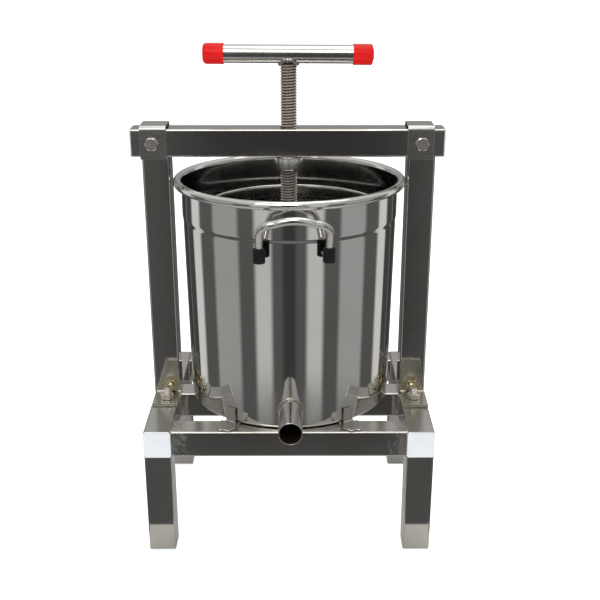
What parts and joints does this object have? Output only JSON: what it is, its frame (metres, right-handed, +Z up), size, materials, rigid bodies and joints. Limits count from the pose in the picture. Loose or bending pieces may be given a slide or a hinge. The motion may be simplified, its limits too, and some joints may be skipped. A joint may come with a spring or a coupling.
{
  "type": "manual honey and wax press",
  "caption": "Hand-turned screw press for honey and wax: a spouted steel pot with an inner basket on a square-tube stand, under a beam with a T-handled screw.",
  "frame": {"origin": "on the floor, under the middle of the whole press; X = 0 is the middle of the stand", "axes": "+Z up along the screw, -Y towards the spout, +X to the right as seen from the spout's side"},
  "size_m": [0.3416, 0.3248, 0.5463],
  "materials": {
    "tube_steel": "satin stainless tube and sheet",
    "polished_steel": "mirror polished stainless",
    "fastener_steel": "bright machined stainless",
    "thread_steel": "cut thread, satin",
    "red_vinyl": "satin dipped vinyl",
    "black_silicone": "matte",
    "white_plastic": "moulded, matte"
  },
  "bodies": {
    "root": {"basket": "polished_steel", "beam": "tube_steel", "beam_plug_left": "white_plastic", "beam_plug_right": "white_plastic", "bracket_bolt_left": "fastener_steel", "bracket_bolt_right": "fastener_steel", "bracket_nut_left": "fastener_steel", "bracket_nut_right": "fastener_steel", "foot_bolt_left": "fastener_steel", "foot_bolt_right": "fastener_steel", "foot_bracket_left": "tube_steel", "foot_bracket_right": "tube_steel", "foot_nut_left": "fastener_steel", "foot_nut_right": "fastener_steel", "front_rail": "tube_steel", "handle_sleeve_front_left": "black_silicone", "handle_sleeve_front_right": "black_silicone", "handle_sleeve_rear_left": "black_silicone", "handle_sleeve_rear_right": "black_silicone", "leg_front_left": "tube_steel", "leg_front_right": "tube_steel", "leg_plug_front_left": "white_plastic", "leg_plug_front_right": "white_plastic", "leg_plug_rear_left": "white_plastic", "leg_plug_rear_right": "white_plastic", "leg_rear_left": "tube_steel", "leg_rear_right": "tube_steel", "middle_rail": "tube_steel", "pot": "polished_steel", "pot_clip_front_left": "tube_steel", "pot_clip_front_right": "tube_steel", "pot_clip_rear_left": "tube_steel", "pot_clip_rear_right": "tube_steel", "pot_handle_front": "polished_steel", "pot_handle_rear": "polished_steel", "rear_rail": "tube_steel", "saddle_bolt_left": "fastener_steel", "saddle_bolt_right": "fastener_steel", "saddle_left": "tube_steel", "saddle_nut_left": "fastener_steel", "saddle_nut_right": "fastener_steel", "saddle_right": "tube_steel", "screw_nut": "fastener_steel", "side_tube_left": "tube_steel", "side_tube_right": "tube_steel", "spout": "polished_steel", "tube_plug_front_left": "white_plastic", "tube_plug_front_right": "white_plastic", "tube_plug_rear_left": "white_plastic", "tube_plug_rear_right": "white_plastic", "upright_left": "tube_steel", "upright_right": "tube_steel"},
    "press_plate": {"press_plate": "fastener_steel", "plate_hub": "fastener_steel"},
    "screw": {"screw": "thread_steel", "handle_bar": "polished_steel", "handle_cap_left": "red_vinyl", "handle_cap_right": "red_vinyl"}
  },
  "joints": [
    {"name": "plate_travel", "type": "slide", "parent": "root", "child": "press_plate", "axis": [0, 0, 1], "range_m": [-0.0631, 0.1621]},
    {"name": "screw_turn", "type": "hinge", "parent": "press_plate", "child": "screw", "pos_m": [0, 0.009, 0.3], "axis": [0, 0, 1], "range_deg": [-7560, 19440]}
  ],
  "couplings": [
    {"joint": "plate_travel", "follows": "screw_turn", "m_per_rad": 0.00047746}
  ]
}
